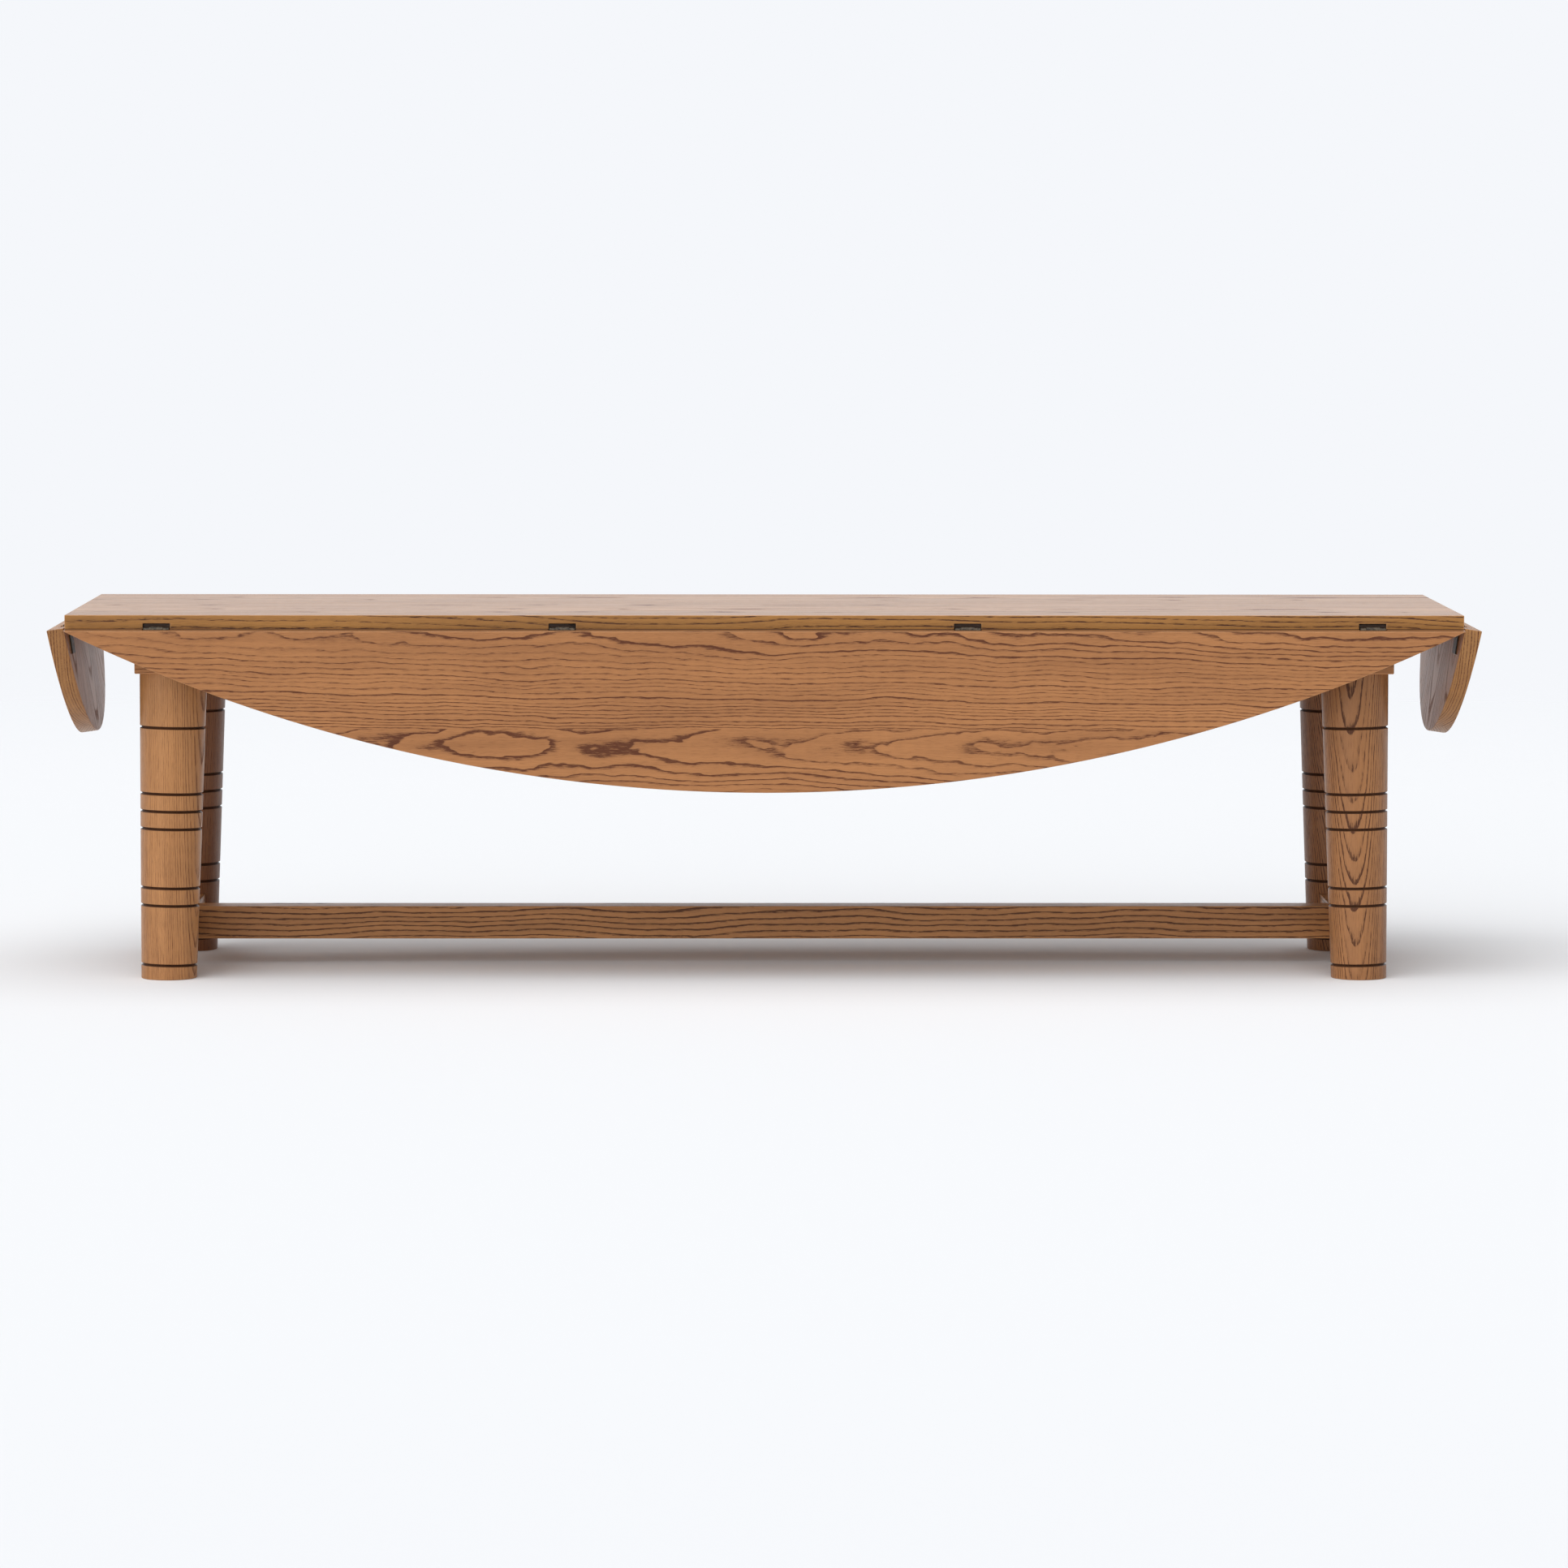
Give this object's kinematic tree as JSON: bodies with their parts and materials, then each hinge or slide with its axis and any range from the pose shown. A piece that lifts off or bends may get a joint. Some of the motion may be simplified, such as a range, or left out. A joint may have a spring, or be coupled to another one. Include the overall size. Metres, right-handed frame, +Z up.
{
  "type": "drop leaf dining table",
  "caption": "Long wooden dining table on round grooved legs, with a slab top and hanging leaves that swing up to make an oval.",
  "frame": {"origin": "on the floor, under the middle of the top", "axes": "+X along the table, +Y to its back, +Z up; the front faces -Y"},
  "size_m": [2.9514, 0.8504, 0.762],
  "materials": {
    "oiled_wood": "oiled open-grained hardwood",
    "bare_wood": "bare sawn hardwood",
    "dark_bronze": "dark bronze",
    "steel": "plated steel"
  },
  "bodies": {
    "frame": {"back_apron": "oiled_wood", "back_hinge_1_fixed_plate": "dark_bronze", "back_hinge_2_fixed_plate": "dark_bronze", "back_hinge_3_fixed_plate": "dark_bronze", "back_hinge_4_fixed_plate": "dark_bronze", "centre_rail": "bare_wood", "corner_block_back_left": "bare_wood", "corner_block_back_right": "bare_wood", "corner_block_front_left": "bare_wood", "corner_block_front_right": "bare_wood", "cross_bearer_left": "bare_wood", "cross_bearer_right": "bare_wood", "end_stretcher_left": "oiled_wood", "end_stretcher_right": "oiled_wood", "front_apron": "oiled_wood", "front_hinge_1_fixed_plate": "dark_bronze", "front_hinge_2_fixed_plate": "dark_bronze", "front_hinge_3_fixed_plate": "dark_bronze", "front_hinge_4_fixed_plate": "dark_bronze", "left_apron": "oiled_wood", "left_hinge_1_fixed_plate": "dark_bronze", "left_hinge_2_fixed_plate": "dark_bronze", "leg_back_left": "oiled_wood", "leg_back_right": "oiled_wood", "leg_bolt_back_left": "steel", "leg_bolt_back_right": "steel", "leg_bolt_front_left": "steel", "leg_bolt_front_right": "steel", "leg_front_left": "oiled_wood", "leg_front_right": "oiled_wood", "long_stretcher": "oiled_wood", "right_apron": "oiled_wood", "right_hinge_1_fixed_plate": "dark_bronze", "right_hinge_2_fixed_plate": "dark_bronze", "top_slab": "oiled_wood"},
    "front_leaf": {"front_hinge_1_leaf_plate": "dark_bronze", "front_hinge_2_leaf_plate": "dark_bronze", "front_hinge_3_leaf_plate": "dark_bronze", "front_hinge_4_leaf_plate": "dark_bronze", "front_leaf": "oiled_wood"},
    "back_leaf": {"back_hinge_1_leaf_plate": "dark_bronze", "back_hinge_2_leaf_plate": "dark_bronze", "back_hinge_3_leaf_plate": "dark_bronze", "back_hinge_4_leaf_plate": "dark_bronze", "back_leaf": "oiled_wood"},
    "left_leaf": {"left_hinge_1_leaf_plate": "dark_bronze", "left_hinge_2_leaf_plate": "dark_bronze", "left_leaf": "oiled_wood"},
    "right_leaf": {"right_hinge_1_leaf_plate": "dark_bronze", "right_hinge_2_leaf_plate": "dark_bronze", "right_leaf": "oiled_wood"},
    "back_slide_left": {"back_slide_left": "oiled_wood"},
    "back_slide_right": {"back_slide_right": "oiled_wood"},
    "front_slide_left": {"front_slide_left": "oiled_wood"},
    "front_slide_right": {"front_slide_right": "oiled_wood"},
    "left_slide": {"left_slide": "oiled_wood"},
    "right_slide": {"right_slide": "oiled_wood"}
  },
  "joints": [
    {"name": "front_leaf_hinge", "type": "hinge", "parent": "frame", "child": "front_leaf", "pos_m": [0, -0.3935, 0.7305], "axis": [-1, 0, 0], "range_deg": [-13.94, 96.06]},
    {"name": "back_leaf_hinge", "type": "hinge", "parent": "frame", "child": "back_leaf", "pos_m": [0, 0.3935, 0.7305], "axis": [1, 0, 0], "range_deg": [-13.94, 96.06]},
    {"name": "left_leaf_hinge", "type": "hinge", "parent": "frame", "child": "left_leaf", "pos_m": [-1.444, 0, 0.7305], "axis": [0, 1, 0], "range_deg": [-11.66, 98.34]},
    {"name": "right_leaf_hinge", "type": "hinge", "parent": "frame", "child": "right_leaf", "pos_m": [1.444, 0, 0.7305], "axis": [0, -1, 0], "range_deg": [-11.66, 98.34]},
    {"name": "back_slide_left_travel", "type": "slide", "parent": "frame", "child": "back_slide_left", "axis": [0, 1, 0], "range_m": [0, 0.04]},
    {"name": "back_slide_right_travel", "type": "slide", "parent": "frame", "child": "back_slide_right", "axis": [0, 1, 0], "range_m": [0, 0.04]},
    {"name": "front_slide_left_travel", "type": "slide", "parent": "frame", "child": "front_slide_left", "axis": [0, -1, 0], "range_m": [0, 0.04]},
    {"name": "front_slide_right_travel", "type": "slide", "parent": "frame", "child": "front_slide_right", "axis": [0, -1, 0], "range_m": [0, 0.04]},
    {"name": "left_slide_travel", "type": "slide", "parent": "frame", "child": "left_slide", "axis": [-1, 0, 0], "range_m": [0, 0.12]},
    {"name": "right_slide_travel", "type": "slide", "parent": "frame", "child": "right_slide", "axis": [1, 0, 0], "range_m": [0, 0.12]}
  ]
}
